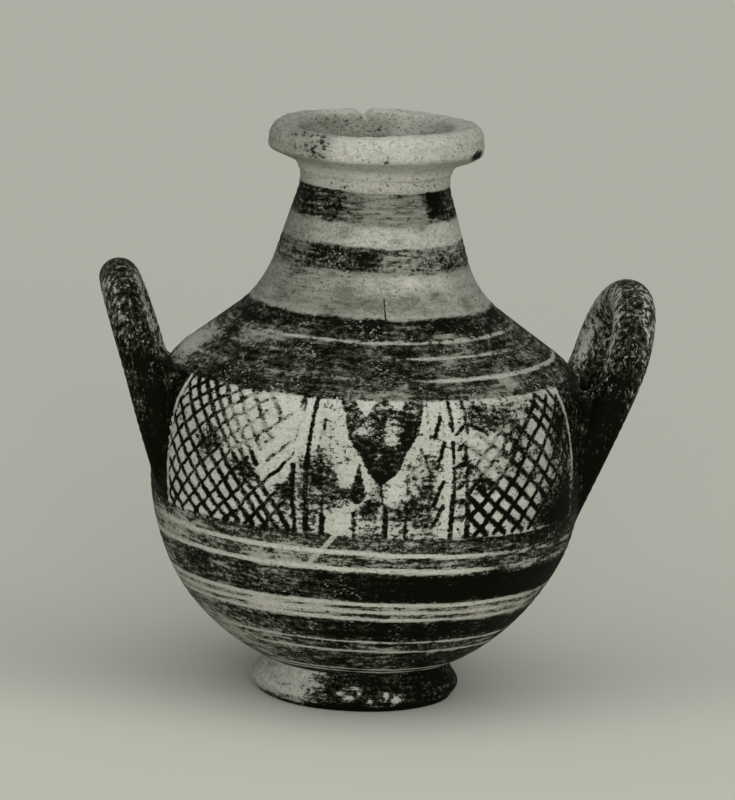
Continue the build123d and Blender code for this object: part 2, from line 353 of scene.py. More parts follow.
FIGURE_STROKES = (
    (((-20.2, 118), (-20.6, 113), (-21, 108), (-21.5, 103), (-21.7, 97)), 1.5, 1.05),
    (((-21.7, 97), (-21.9, 90), (-21.8, 84), (-21.5, 78), (-21.3, 70)), 2.1, 1.1),
    (((-24.2, 116), (-24, 113.5)), 2.4, 0.65),
    (((-24.6, 107.5), (-25, 104), (-25.6, 101.5)), 1.1, 0.65),
    (((-25.6, 94), (-25.6, 84)), 2.3, 1.1),
    (((-27.2, 87), (-26, 83)), 3.0, 0.85),
    (((-25.4, 82), (-24.6, 76), (-24, 69.5)), 1.6, 1.05),
    (((-17.4, 110.5), (-17.6, 107.5)), 1.2, 0.85),
    (((-18.4, 106), (-18.8, 100)), 1.4, 0.5),
    (((-18.6, 98), (-17.9, 95), (-17.9, 87)), 1.8, 1.0),
    (((-17.5, 84.5), (-17.3, 79)), 1.5, 1.0),
    (((-17.2, 77.5), (-17.2, 70)), 1.9, 1.1),
    (((-17.5, 93.4), (-14.4, 93.4)), 0.9, 0.8),
    (((-17.5, 90.3), (-14, 90)), 1.2, 0.8),
    (((-17, 86.2), (-14, 86)), 0.8, 0.8),
    (((-14.2, 81.8), (-12.2, 81)), 1.3, 0.75),
    (((-12.4, 84.8), (-9.5, 84.3)), 1.1, 0.75),
    (((-9, 79), (-8.8, 75), (-8.7, 69.5)), 1.3, 1.05),
    (((-2.2, 89.5), (-2.1, 85.5)), 1.0, 0.9),
    (((-1.8, 84), (-1.1, 81)), 1.2, 0.8),
    (((-1, 81), (-0.7, 77), (-0.6, 69.5)), 1.9, 1.15),
    (((4.9, 93), (4.8, 86)), 1.1, 0.85),
    (((2.6, 82.6), (6, 83), (9.4, 84.4)), 1.5, 0.6),
    (((4.5, 81.5), (4.6, 77), (4.7, 70)), 1.5, 1.1),
    (((8, 101.4), (9.7, 97.8)), 1.3, 1.0),
    (((10.8, 96.5), (11.6, 93)), 2.4, 0.8),
    (((10, 117), (9.8, 111)), 1.0, 0.8),
    (((10.5, 109), (10.7, 104)), 0.9, 0.5),
    (((10.7, 91), (11, 86), (10.3, 80), (10.8, 74)), 1.5, 0.75),
    (((13.4, 111.8), (11.6, 105.2)), 1.4, 1.05),
    (((14.4, 103.6), (12.6, 95)), 1.5, 1.1),
    (((14.2, 90), (11.8, 82.5)), 1.5, 1.1),
    (((14.2, 81.5), (11.8, 75.3)), 1.7, 1.1),
    (((16.3, 117), (16.4, 111)), 1.4, 0.9),
    (((16.4, 111), (16.7, 107.6)), 1.7, 1.0),
    (((16.8, 103.5), (17.3, 96), (17.4, 86)), 1.4, 1.0),
    (((17.2, 85), (16.8, 78), (16.8, 70)), 2.1, 1.15),
    (((20.4, 117), (20.8, 110), (21, 106.5)), 1.5, 0.85),
    (((20.6, 103), (20.9, 97)), 1.5, 0.9),
    (((21.2, 95), (21.3, 86)), 1.5, 0.95),
    (((21.5, 86), (21.5, 70)), 2.2, 1.1),
    (((17.8, 106.3), (19.8, 108.5)), 1.4, 1.0),
    (((18.7, 101.5), (20.5, 103)), 1.8, 0.9),
    (((18.3, 95.3), (20, 96), (22.4, 95.3)), 1.9, 1.05),
    (((18.4, 87.8), (20.2, 89.6)), 1.6, 0.9),
    (((17.4, 83.2), (22, 83.5)), 2.0, 1.05),
    (((17.2, 77.5), (22, 77.3)), 1.8, 1.05),
    (((18.8, 73.8), (19.6, 71.8)), 1.2, 0.85),
    (((20.5, 109.8), (24.5, 107.6), (27.4, 105.5)), 1.6, 1.0),
    (((-64.8, 117), (-65.5, 113), (-66.9, 108.5), (-68.4, 103.5), (-69.6, 99)), 1.1, 0.95),
    (((-69.6, 99), (-70, 91), (-69.9, 83), (-69.2, 74)), 1.0, 0.55),
    (((57.5, 112), (58.3, 107.5), (60, 102.5), (61.3, 98), (62.8, 92)), 1.5, 1.0),
)


def figure_paint(bearing, height):
    """Paint of the hanging triangle, the dart and the upright lines between the lattices."""
    left_edge = np.interp(
        height,
        [89.5, 91, 93, 95, 98, 100, 103, 105, 108, 112, 116],
        [-2.4, -4.2, -5.6, -6.5, -7.6, -8.7, -10.3, -11.2, -11.8, -12.3, -13.8],
    )
    right_edge = np.interp(
        height,
        [89.5, 91, 92.5, 95, 98, 100, 103, 105, 108, 113, 116],
        [-1.6, 0, 1.6, 3, 3.7, 4.3, 5.8, 6.6, 7.4, 8.7, 9.4],
    )
    triangle = (
        fade(bearing, left_edge - 0.4, left_edge + 0.5)
        * fade(bearing, right_edge + 0.4, right_edge - 0.5)
        * fade(height, 89, 90)
    )
    for middle, apex, pale in ((-6.8, 112, 1.0), (1.6, 112.8, 0.75)):
        notch = (height - apex) * 0.58 - np.abs(bearing - middle)
        triangle = triangle * (1 - pale * fade(notch, -0.5, 0.5))
    rubs = (((0.2, 107), (2.3, 4.8), 0.95), ((-7.6, 107.6), (3.4, 3), 0.62))
    triangle = rubbed(triangle, bearing, height, rubs) * (1 - 0.3 * fade(height, 109, 116))
    paint = 1.1 * triangle
    for points, width, strength in FIGURE_STROKES:
        paint = np.maximum(paint, strength * brush_line(bearing, height, points, width))
    leaf = np.interp(height, [82, 83, 84.5, 86, 89, 92, 96], [0.3, 1.6, 2.6, 2.7, 1.9, 1.2, 0.3])
    dart = fade(np.abs(bearing + 8.1) * BELLY_DEGREE, leaf + 0.5, leaf - 0.4)
    return np.maximum(paint, 1.1 * dart * within(height, 82.5, 95.5, 0.7))


PANEL_WASHES = (
    ((-27, 13, 3), (72, 97, 4), 0.21),
    ((48, 66, 5), (70, 114, 4), 0.32),
    ((-20, 16, 3), (96, 117, 3), 0.18),
    ((20, 42, 5), (86, 117, 4), 0.3),
    ((3, 15, 2), (74, 100, 4), 0.12),
    ((-58, -38, 5), (86, 104, 5), 0.12),
)
PANEL_SMUDGES = (
    ((-62, 106), (8, 9), 0.2),
    ((-53.5, 96.5), (3, 2.2), 0.5),
    ((-50.5, 101.2), (2.2, 1.8), 0.45),
    ((-48, 97.5), (2.4, 1.8), 0.4),
    ((-53, 91.5), (4, 4), 0.25),
    ((-41, 91.5), (3.5, 3.2), 0.5),
    ((-38.3, 88), (2.4, 3), 0.5),
    ((-42, 84), (8, 8), 0.16),
    ((-29.5, 80), (3.4, 6), 0.36),
    ((-27.5, 85), (3, 4), 0.4),
    ((-23, 90), (2, 10), 0.34),
    ((-19.5, 88), (1.8, 10), 0.4),
    ((-15.8, 90), (2.4, 6), 0.4),
    ((-14.5, 82), (3, 4), 0.24),
    ((-11.8, 85.5), (2, 2.4), 0.36),
    ((-5.6, 80.5), (3, 3.2), 0.34),
    ((-4, 84), (2, 5), 0.24),
    ((-5, 72.5), (4, 2), 0.3),
    ((2, 79.5), (3.6, 3.6), 0.34),
    ((6.6, 80.5), (3.4, 4.4), 0.38),
    ((6.4, 92.5), (2, 2.4), 0.22),
    ((10.2, 88), (2, 5), 0.2),
    ((11.2, 95), (1.8, 3), 0.4),
    ((10.6, 76), (2, 4), 0.3),
    ((15.6, 92), (1.4, 4), 0.14),
    ((19.2, 100), (1.6, 12), 0.26),
    ((20, 79), (3, 8), 0.36),
    ((23.5, 113.5), (3.4, 2.6), 0.34),
    ((30, 109.5), (5, 3.2), 0.42),
    ((36, 114), (10, 3), 0.24),
    ((27, 88), (3.4, 2.6), 0.46),
    ((44, 89.8), (3.6, 3), 0.46),
    ((38, 93), (2, 2), 0.26),
    ((43.5, 97), (3, 2), 0.34),
    ((55.5, 103), (3, 4), 0.32),
    ((53, 95), (3, 3), 0.28),
    ((59, 88), (3, 6), 0.34),
    ((54, 79), (8, 6), 0.42),
    ((60, 76), (6, 6), 0.4),
    ((48, 76), (5, 4), 0.26),
    ((0, 70.6), (26, 1.8), 0.36),
    ((7, 74), (9, 2.6), 0.1),
    ((-30, 72), (10, 2), 0.24),
    ((-12.2, 76), (2.0, 5), -0.16),
    ((1.6, 86.5), (2.2, 3.4), -0.2),
    ((-13, 106), (1.4, 6), -0.1),
    ((24.5, 96.5), (2, 1.6), -0.2),
    ((25, 104), (2.2, 1.7), -0.2),
    ((30, 104.2), (1.9, 1.7), -0.2),
    ((33.5, 101), (1.7, 1.6), -0.2),
    ((36.8, 97.8), (2, 1.6), -0.2),
    ((29.5, 91.5), (1.9, 1.5), -0.2),
    ((32.5, 88.5), (1.7, 1.7), -0.2),
    ((41.5, 93.5), (1.9, 1.7), -0.2),
    ((46.5, 102.5), (2.3, 2), -0.3),
    ((56, 72.5), (14, 3.4), 0.5),
    ((56, 102), (4, 8), 0.2),
    ((-55, 98), (6, 5), 0.12),
)


def panel_smudges(bearing, height):
    """Thin wash rubbed off the lattice and the figures over the panel's ground."""
    wash = zoned(0.06, bearing, height, PANEL_WASHES)
    return np.maximum(daubed(wash, bearing, height, PANEL_SMUDGES), 0)


def panel_paint(bearing, height):
    """Paint of the belly's zone: dark round the handles, with a reserved panel in front and behind.

    The panel behind has the same two lattices with plain uprights between them.
    """
    turned_back = opposite(bearing)
    from_left = turned_back - np.interp(height, *LEFT_OUTLINE)
    from_right = np.interp(height, *RIGHT_OUTLINE) - turned_back
    inner = np.minimum(from_left, from_right) * BELLY_DEGREE
    plain = np.maximum(uprights(turned_back, -20.5, 41, 1.7), uprights(turned_back, -17, 34, 1.3))
    behind = np.abs(bearing) > SIDE_BEARING
    figure = np.where(behind, 0.9 * plain, figure_paint(bearing, height))
    drawn = np.maximum(lattice_paint(turned_back, height), figure)
    ground = -0.12 + 1.35 * panel_smudges(turned_back, height)
    inside = np.maximum(drawn, ground)
    outline = fade(np.abs(inner), 1.3, 0.5)
    outline = outline * (1 - 0.75 * fade(turned_back, 0, 20) * fade(height, 94, 86))
    return np.where(inner > 0, inside, FULL_LOAD) * (1 - outline) - 0.05 * outline


def pale_ring(bearing, height, middle, width, ends):
    """Share of paint that a line reserved in the pale slip lacks, weaker past its ends."""
    across = fade(np.abs(height - middle), width / 2 + 0.5, width / 2)
    return across * (0.3 + 0.7 * within(to_and_fro(bearing), ends[0], ends[1], 6))


def bare_rings(bearing, height, rings):
    """Share of paint lacking on a row of pale lines, each with a height, width, ends and bareness."""
    bare = 0 * bearing
    for middle, width, ends, bareness in rings:
        bare = np.maximum(bare, bareness * pale_ring(bearing, height, middle, width, ends))
    return bare


def bowl_rings(bearing, level):
    """Share of paint lacking on the pale lines round the bowl."""
    return bare_rings(
        bearing,
        level,
        (
            (64.7 - 0.012 * to_and_fro(bearing), 0.8, (-72, 26), 0.85),
            (59.0, 0.9, (-88, 28), 0.9),
            (46.0, 0.7, (-86, 50), 0.85),
            (43.0, 0.6, (-86, 44), 0.8),
            (40.1, 0.5, (-86, 50), 0.8),
            (30.5, 0.3, (-60, 60), 0.8),
            (26.2, 0.3, (-40, 60), 0.8),
            (16.9, 0.2, (-60, 70), 0.75),
            (15.4, 0.2, (-60, 70), 0.7),
        ),
    )


def bowl_level(bearing, height):
    """Height above the floor measured as the brush ran on the bowl: in waves, and low on the right."""
    waves = 0.15 * np.sin(np.radians(3 * bearing)) + 0.1 * np.sin(np.radians(7 * bearing + 40))
    return height + waves + 0.02 * np.clip(to_and_fro(bearing), 0, 60)


BOWL_RUB = ((-33, 43), (10, 2.4))


def lower_body_paint(bearing, height):
    """Paint of the bowl: the foot of the panel, then dark bands with pale lines between them."""
    level = bowl_level(bearing, height)
    side = to_and_fro(bearing)
    bands = np.interp(
        level,
        [0, 15, 17, 25, 32, 38.6, 39.2, 46.6, 47.2, 57, 57.8, 60.2, 64, 68.6, 70.5],
        [0.85, 0.9, 0.8, 0.72, 0.9, 0.9, 0.58, 0.58, 0.96, 0.96, 0.62, 0.58, 0.6, 0.7, 0.78],
    )
    for share, start, end, upward in (
        (0.37, -14, 6, (47.6, 56.6, 0.6)),
        (0.2, -8, 12, (32.5, 38.3, 0.8)),
        (0.22, 16, 42, (57.5, 71, 0.8)),
        (-0.2, -10, -40, (47.6, 56.6, 0.8)),
        (-0.08, 0, -30, (58, 70, 0.8)),
        (0.08, -30, -10, (18, 38, 2)),
    ):
        bands = bands + share * fade(side, start, end) * within(level, *upward)
    wear = (
        (*BOWL_RUB, 1.0),
        ((3, 27.5), (9, 1.3), 0.5),
        ((-62, 66), (14, 2.4), 0.25),
        ((-84, 53), (9, 5), 0.3),
        ((-66, 28), (26, 14), 0.6),
        ((44, 27), (12, 2), 0.25),
    )
    bands = rubbed(bands - bowl_rings(bearing, level), bearing, height, wear)
    scratch = brush_line(bearing, height, ((-13, 72), (-16, 67), (-20, 61)), 1.2)
    bands = bands - 1.3 * scratch
    panel_foot = 70.6 - 0.014 * side
    above = fade(height, panel_foot - 0.4, panel_foot + 0.4)
    return bands * (1 - above) + panel_paint(bearing, height) * above


def shader_node(tree, kind, inputs=(), **settings):
    """Adds a node with its settings, and links or sets its inputs, given by name or number."""
    made = tree.nodes.new(kind)
    for name, value in settings.items():
        setattr(made, name, value)
    for socket, value in dict(inputs).items():
        if isinstance(value, bpy.types.NodeSocket):
            tree.links.new(value, made.inputs[socket])
        else:
            made.inputs[socket].default_value = value
    return made


def reckon(tree, operation, first, second=0.0, clamp=False):
    """Output of a math node on two values or sockets."""
    made = shader_node(
        tree, "ShaderNodeMath", {0: first, 1: second}, operation=operation, use_clamp=clamp
    )
    return made.outputs[0]


def noise(tree, place, size, detail):
    """Output of a noise whose grains are about a size in millimetres."""
    made = shader_node(
        tree,
        "ShaderNodeTexNoise",
        {"Vector": place, "Scale": 1 / size, "Detail": detail, "Roughness": 0.6},
    )
    return made.outputs[0]


def gained(tree, value, middle, gain, clamp=False):
    """Output of a value's distance above a middle, times a gain."""
    return reckon(tree, "MULTIPLY", reckon(tree, "SUBTRACT", value, middle), gain, clamp)


def mapped(tree, value, low, high, top=1.0, kind="LINEAR"):
    """Output that goes from 0 where a value is low to a top where it is high."""
    made = shader_node(
        tree,
        "ShaderNodeMapRange",
        {"Value": value, "From Min": low, "From Max": high, "To Max": top},
        interpolation_type=kind,
    )
    return made.outputs[0]


def blend(tree, factor, first, second):
    """Colour between two colours or sockets by a factor."""
    made = shader_node(
        tree, "ShaderNodeMix", {"Factor": factor, 6: first, 7: second}, data_type="RGBA"
    )
    return made.outputs[2]


def stretched(tree, place, stretch):
    """Places scaled along each axis, so that what is laid out on them is drawn out."""
    made = shader_node(
        tree, "ShaderNodeVectorMath", {0: place, 1: stretch}, operation="MULTIPLY"
    )
    return made.outputs[0]


PALE_SLIP = (0.46, 0.46, 0.4, 1)
# Colour of stained slip, and also of the painted shade on the lip's sides.
STAINED_AND_SHADED_SLIP = (0.115, 0.114, 0.088, 1)
BARE_CLAY = (0.04, 0.039, 0.026, 1)
DARK_SLIP = (0.0026, 0.0024, 0.0007, 1)
THIN_SLIP = (0.044, 0.043, 0.03, 1)
FLAKE_SIZE = 0.6
FLECK_SIZE = 0.9
SPECK_SIZE = 1.1
PATCH_SIZE = 1.6
DRIFT_SIZE = 8.0
CLOUD_SIZE = 14.0
SLIP_SHINE = 0.025
PAINT_RELIEF = 0.12


def worn_slip_group():
    """Dark slip worn off pale slip, by how much paint was laid and how much grime has settled, grime
    that on the lip's sides is painted shade.

    Where paint is thinner than a threshold that several noises vary, from flakes under a millimetre
    to streaks along the brush's run, the pale slip shows. Streaks lead outside the reserved heights
    and patches inside them. Paint stands proud of the slip.
    """
    tree = bpy.data.node_groups.new("worn_slip", "ShaderNodeTree")
    for name in ("Paint", "Grime", "Flaking", "Softness", "Reserve Foot", "Reserve Top"):
        tree.interface.new_socket(name, in_out="INPUT", socket_type="NodeSocketFloat")
    for name in ("Streaks", "Flecks"):
        tree.interface.new_socket(name, in_out="INPUT", socket_type="NodeSocketVector")
    for name, kind in (("Color", "Color"), ("Roughness", "Float"), ("Height", "Float")):
        tree.interface.new_socket(name, in_out="OUTPUT", socket_type=f"NodeSocket{kind}")
    given = tree.nodes.new("NodeGroupInput").outputs
    place = shader_node(
        tree,
        "ShaderNodeVectorMath",
        {0: tree.nodes.new("ShaderNodeTexCoord").outputs["Object"], "Scale": 1 / METRES},
        operation="SCALE",
    ).outputs[0]
    chipped = stretched(tree, place, given["Flecks"])
    flakes = noise(tree, place, FLAKE_SIZE, 3)
    patches = noise(tree, chipped, PATCH_SIZE, 3)
    clouds = noise(tree, place, CLOUD_SIZE, 3)
    streaks = noise(tree, stretched(tree, place, given["Streaks"]), PATCH_SIZE, 3)
    rise = shader_node(tree, "ShaderNodeSeparateXYZ", {0: place}).outputs["Z"]
    reserved = reckon(
        tree,
        "MULTIPLY",
        reckon(tree, "GREATER_THAN", rise, given["Reserve Foot"]),
        reckon(tree, "LESS_THAN", rise, given["Reserve Top"]),
    )
    dabbed = reckon(tree, "ADD", reckon(tree, "MULTIPLY", reserved, 0.8), 1.4)
    brushed = reckon(tree, "ADD", reckon(tree, "MULTIPLY", reserved, -0.5), 1.35)
    uneven = gained(tree, flakes, 0.5, 1.0)
    for layer, depth in ((patches, dabbed), (clouds, 1.1), (streaks, brushed)):
        uneven = reckon(tree, "ADD", uneven, gained(tree, layer, 0.5, depth))
    threshold = reckon(tree, "ADD", reckon(tree, "MULTIPLY", uneven, given["Flaking"]), 0.5)
    surplus = reckon(tree, "SUBTRACT", given["Paint"], threshold)
    scant = reckon(tree, "MULTIPLY", given["Softness"], -1.0)
    laid = mapped(tree, surplus, scant, given["Softness"], kind="SMOOTHSTEP")
    thin = mapped(tree, surplus, 0.46, 0.02)
    flecks = mapped(tree, noise(tree, chipped, FLECK_SIZE, 2), 0.57, 0.72, top=0.8)
    strewn = gained(tree, noise(tree, place, DRIFT_SIZE, 2), 0.48, 7.0, clamp=True)
    spare = gained(tree, 1.3, given["Paint"], 2.4, clamp=True)
    strewn = reckon(tree, "MULTIPLY", strewn, spare)
    gone = reckon(tree, "MULTIPLY", reckon(tree, "MULTIPLY", flecks, strewn), laid)
    covered = reckon(tree, "SUBTRACT", laid, gone)
    specks = mapped(tree, noise(tree, place, SPECK_SIZE, 4), 0.58, 0.7, kind="SMOOTHSTEP")
    dirt = gained(tree, patches, 0.42, 2.6, clamp=True)
    grain = gained(tree, flakes, 0.5, 1.1)
    dirt = reckon(tree, "ADD", reckon(tree, "MULTIPLY", dirt, 0.5), grain)
    # Grime darkens the pale slip towards the stained colour, and on the lip's sides this darkening is
    # painted shade.
    stain = reckon(tree, "ADD", dirt, given["Grime"], clamp=True)
    pale = blend(tree, stain, PALE_SLIP, STAINED_AND_SHADED_SLIP)
    pale = blend(tree, reckon(tree, "MULTIPLY", specks, 0.75), pale, BARE_CLAY)
    dark = blend(tree, thin, DARK_SLIP, THIN_SLIP)
    color = blend(tree, gone, blend(tree, laid, pale, dark), PALE_SLIP)
    rough = reckon(tree, "SUBTRACT", 0.86, reckon(tree, "MULTIPLY", covered, 0.24))
    pits = reckon(tree, "MULTIPLY", specks, -0.5)
    height = reckon(tree, "ADD", reckon(tree, "ADD", covered, pits), grain)
    leaving = tree.nodes.new("NodeGroupOutput")
    for name, value in (("Color", color), ("Roughness", rough), ("Height", height)):
        tree.links.new(value, leaving.inputs[name])
    return tree


WORN_SLIP = worn_slip_group()


def slip_material(name, flaking, softness, streaks, flecks, reserve):
    """Fired clay under worn slip, read from the mesh's own paint and grime; on the lip's sides the
    grime is painted shade.

    Flaking is how unevenly the slip wears and softness how gradually. Streaks and flecks say how
    closely each kind of wear lies along each axis, and reserve between which heights streaks are few.
    """
    material = bpy.data.materials.new(name)
    material.use_nodes = True
    tree = material.node_tree
    shader = tree.nodes["Principled BSDF"]
    shader.inputs["Specular IOR Level"].default_value = SLIP_SHINE
    wear = {"Flaking": flaking, "Softness": softness, "Streaks": streaks, "Flecks": flecks}
    wear |= {"Reserve Foot": reserve[0], "Reserve Top": reserve[1]}
    for label in ("paint", "grime"):
        read = shader_node(tree, "ShaderNodeAttribute", attribute_name=label)
        wear[label.title()] = read.outputs["Fac"]
    worn = shader_node(tree, "ShaderNodeGroup", wear, node_tree=WORN_SLIP)
    relief = shader_node(
        tree,
        "ShaderNodeBump",
        {"Strength": 0.6, "Distance": PAINT_RELIEF * METRES, "Height": worn.outputs["Height"]},
    )
    tree.links.new(worn.outputs["Color"], shader.inputs["Base Color"])
    tree.links.new(worn.outputs["Roughness"], shader.inputs["Roughness"])
    tree.links.new(relief.outputs["Normal"], shader.inputs["Normal"])
    return material


WHEEL_STREAKS = (0.2, 0.2, 1.4)
CHIPS = (0.8, 0.8, 1.2)
PANEL_HEIGHTS = (70.5, 117.0)
NO_HEIGHTS = (0.0, 0.0)
ALL_HEIGHTS = (0.0, 300.0)
PAINTED_SLIP = slip_material("painted_slip", 1.0, 0.18, WHEEL_STREAKS, CHIPS, PANEL_HEIGHTS)
INSIDE_PAINT = 0.4
INSIDE_GRIME = 0.75


def thrown_piece(node, outside, inside, around, paint, soil, material, joined=True):
    """Piece of the thrown wall between its outside and its inside lines, painted and soiled outside.

    The inside is bare clay, darkened by what the jar held.
    """
    section = np.vstack([outside, inside[::-1]])
    grid = turned(section, around)
    bearing, height = np.broadcast_arrays(around[None, :], section[:, 1:])
    bearing = signed(bearing)
    is_outside = np.arange(len(section))[:, None] < len(outside)
    load = np.where(is_outside, paint(bearing, height), INSIDE_PAINT)
    grime = np.where(is_outside, soil(bearing, height), INSIDE_GRIME)
    piece = clay_piece(f"{node}_clay", hand_made(grid), load, grime, joined)
    seat(piece, node, material)


def panel_grime(bearing, height):
    """Grime on the panel: its smudges, and the stain that its lattices leave where they wear."""
    turned_back = opposite(bearing)
    stain = 0.3 * panel_smudges(turned_back, height) + 0.5 * lattice_paint(turned_back, height)
    return stain + 0.26 * fade(turned_back, 22, 50)


def lower_body_grime(bearing, height):
    """Grime on the bowl: the panel's, and a grey wash between the pale lines under it."""
    on_panel = fade(height, 70, 71)
    wash = 0.36 * (1 - bowl_rings(bearing, bowl_level(bearing, height)))
    wash = rubbed(wash, bearing, height, ((*BOWL_RUB, 0.9),))
    return panel_grime(bearing, height) * on_panel + wash * (1 - on_panel)


BODY_BEARINGS = bearings((-72, 66, 108, 246, 288), (306, 18, 148, 18))
bowl_outside = wall_line((0, FLOOR_HEIGHT), 0, BOWL, 0, BOWL_ROW)
bowl_inside = wall_line((0, FLOOR_HEIGHT + WALL), 0, BOWL, WALL, COARSE_ROW)
thrown_piece(
    "lower_body",
    bowl_outside[1:],
    bowl_inside[1:],
    BODY_BEARINGS,
    lower_body_paint,
    lower_body_grime,
    PAINTED_SLIP,
    joined=False,
)

# Shoulder
# The upper half of the body, thrown apart and luted to the bowl at the belly. Its upright wall holds
# most of the reserved panel, and the slope above it is dark with thin pale lines.
SHOULDER = [(308.0, 5.2), (22.0, 48.0), (23.16, 0)]
SHOULDER_ROW = 0.6
BELLY_HEADING = 90
SLOPE_RUB = ((-87, 123), (15, 7))


def slope_rings(bearing, height):
    """Share of paint lacking on the pale lines round the shoulder's slope."""
    level = height + 0.22 * np.sin(np.radians(2 * bearing + 60))
    return bare_rings(
        bearing,
        level,
        (
            (139.3, 0.5, (-75, -16), 0.6),
            (133.4, 0.4, (-42, 61), 0.42),
            (129.0, 0.3, (5, 55), 0.42),
            (123.0, 0.5, (8, 86), 0.48),
        ),
    )


def shoulder_paint(bearing, height):
    """Paint of the shoulder: the panel, and over it a dark slope with lines left pale."""
    slope = 0.81 - slope_rings(bearing, height) - 0.07 * fade(to_and_fro(bearing), 0, 30)
    wear = (
        ((-54, 132.5), (13, 2.2), 0.55),
        ((28, 135), (6, 1.2), 0.5),
        ((40.6, 120.6), (2.5, 1.6), 0.75),
        ((4, 120.5), (2.2, 1.8), 0.6),
        (*SLOPE_RUB, 1.0),
        ((10, 118), (30, 1.4), 0.3),
    )
    slope = rubbed(slope, bearing, height, wear)
    above = fade(height, 116.4, 117.4)
    return panel_paint(bearing, height) * (1 - above) + slope * above


def shoulder_grime(bearing, height):
    """Grime on the shoulder: the panel's, and a grey wash between the pale lines over it."""
    on_slope = fade(height, 116.6, 117.6)
    wash = rubbed(0.6 * (1 - slope_rings(bearing, height)), bearing, height, ((*SLOPE_RUB, 0.7),))
    return panel_grime(bearing, height) * (1 - on_slope) + wash * on_slope


shoulder_outside = wall_line(bowl_outside[-1], BELLY_HEADING, SHOULDER, 0, SHOULDER_ROW)
shoulder_inside = wall_line(bowl_inside[-1], BELLY_HEADING, SHOULDER, WALL, COARSE_ROW)
thrown_piece(
    "shoulder",
    shoulder_outside,
    shoulder_inside,
    BODY_BEARINGS,
    shoulder_paint,
    shoulder_grime,
    PAINTED_SLIP,
)

# Neck
# A tapering tube thrown apart, luted on the shoulder. Two dark bands go round it, worn to grey where
# hands held it.
NECK = [(38.0, -36.3), (23.3, 0), (16.0, -16.9)]
NECK_HEADING = BELLY_HEADING + SHOULDER[0][1] + SHOULDER[1][1]


def neck_paint(bearing, height):
    """Paint of the neck: two worn dark bands over a grey ground, the shoulder's dark and a crack."""
    level = height + 0.25 * np.sin(np.radians(2 * bearing + 20))
    side = to_and_fro(bearing)
    bands = np.interp(
        level,
        [139.2, 140.6, 150, 153, 155, 162, 164, 169, 171, 180.4, 181.6],
        [0.92, 0.2, 0.16, 0.3, 0.7, 0.72, -0.1, -0.1, 0.76, 0.83, -0.1],
    )
    zones = (
        ((37, 57, 3), (173, 181, 1), 0.26),
        ((-30, 36, 6), (171, 181, 1.5), -0.35),
        ((-47, -1, 4), (155, 162.5, 1), 0.2),
        ((0, 40, 4), (146, 154, 2), -0.16),
    )
    bands = zoned(bands, bearing, height, zones)
    bands = bands + 0.14 * fade(side, 0, -30) * within(height, 141, 154, 2)
    daubs = (((32.5, 147), (2.5, 1), 0.3), ((12.5, 143.2), (4, 0.6), 0.4))
    bands = daubed(bands, bearing, height, daubs)
    crack = fade(np.abs(bearing - 1.9), 0.7, 0.3) * within(height, 139.5, 146.3, 0.4)
    return np.maximum(bands, 1.1 * crack)


def neck_grime(bearing, height):
    """Grime on the neck: a grey wash low down, on its left and where it is worn, and stains on it."""
    side = to_and_fro(bearing)
    low = within(height, 140, 155, 1.5) * (0.2 + 0.12 * fade(side, 10, -30))
    left = 0.22 * fade(side, -14, -40) * within(height, 160, 172, 2)
    left = left + 0.2 * fade(side, -40, -56) * within(height, 158, 172, 2)
    worn = 0.26 * within(bearing, -26, 36, 6) * within(height, 169, 181, 1)
    stains = (
        ((2, 144), (24, 3), 0.3),
        ((-24, 167), (7, 2.2), 0.34),
        ((31, 168.5), (6, 1.6), 0.36),
        ((12, 165), (4, 1.4), 0.24),
        ((18, 151.5), (9, 2), -0.34),
        ((38, 151), (6, 2.4), -0.26),
        ((33, 146.6), (6, 2), 0.32),
        ((16, 146), (7, 1.6), 0.24),
        ((52, 143), (6, 3), 0.4),
        ((-20, 148), (7, 2.4), 0.3),
        ((-8, 152), (4, 1.4), -0.2),
    )
    return daubed(0.27 + low + left + worn, bearing, height, stains)


neck_outside = wall_line(shoulder_outside[-1], NECK_HEADING, NECK, 0, FINE_ROW)
neck_inside = wall_line(shoulder_inside[-1], NECK_HEADING, NECK, WALL, COARSE_ROW)
thrown_piece(
    "neck",
    neck_outside,
    neck_inside,
    bearings(FRONT_AND_BACK, (300, 120)),
    neck_paint,
    neck_grime,
    slip_material("washed_slip", 0.85, 0.34, WHEEL_STREAKS, CHIPS, NO_HEIGHTS),
)

# Mouth
# The flaring collar and thick rolled lip, luted on the throat. It was left in pale slip, and its edge
# is chipped and rubbed.
COLLAR_HEIGHT = 5.6
LIP_UNDERSIDE_RISE = 5.6
LIP_RADIUS = 36.9
LIP_THICKNESS = 9.3
LIP_OUTER_LEAN = -0.4
LIP_WIDTH = 10.0
LIP_TOP_DROP = 1.6
FUNNEL_DEPTH = 11.0
MOUTH_ROUNDING = [7.0, 2.4, 4.4, 3.0, 14.0]


def rounded_line(corners, radii, spacing):
    """Line through corners with each inner one rounded to a radius.

    A rounding starts at the radius times the tangent of half the turn before its corner and goes on
    as an arc; straight runs join the roundings.
    """
    corners = np.array(corners, float)
    runs = np.diff(corners, axis=0)
    lengths = np.linalg.norm(runs, axis=1)
    headings = np.degrees(np.arctan2(runs[:, 1], runs[:, 0]))
    turns = (np.diff(headings) + 180) % 360 - 180
    cut = np.array(radii) * np.tan(np.radians(np.abs(turns) / 2))
    straight = lengths - np.append(cut, 0) - np.append(0, cut)
    stretches = [(straight[0], 0)]
    for radius, turn, length in zip(radii, turns, straight[1:]):
        stretches += [(radius, turn), (length, 0)]
    return wall_line(corners[0], headings[0], stretches, 0, spacing)


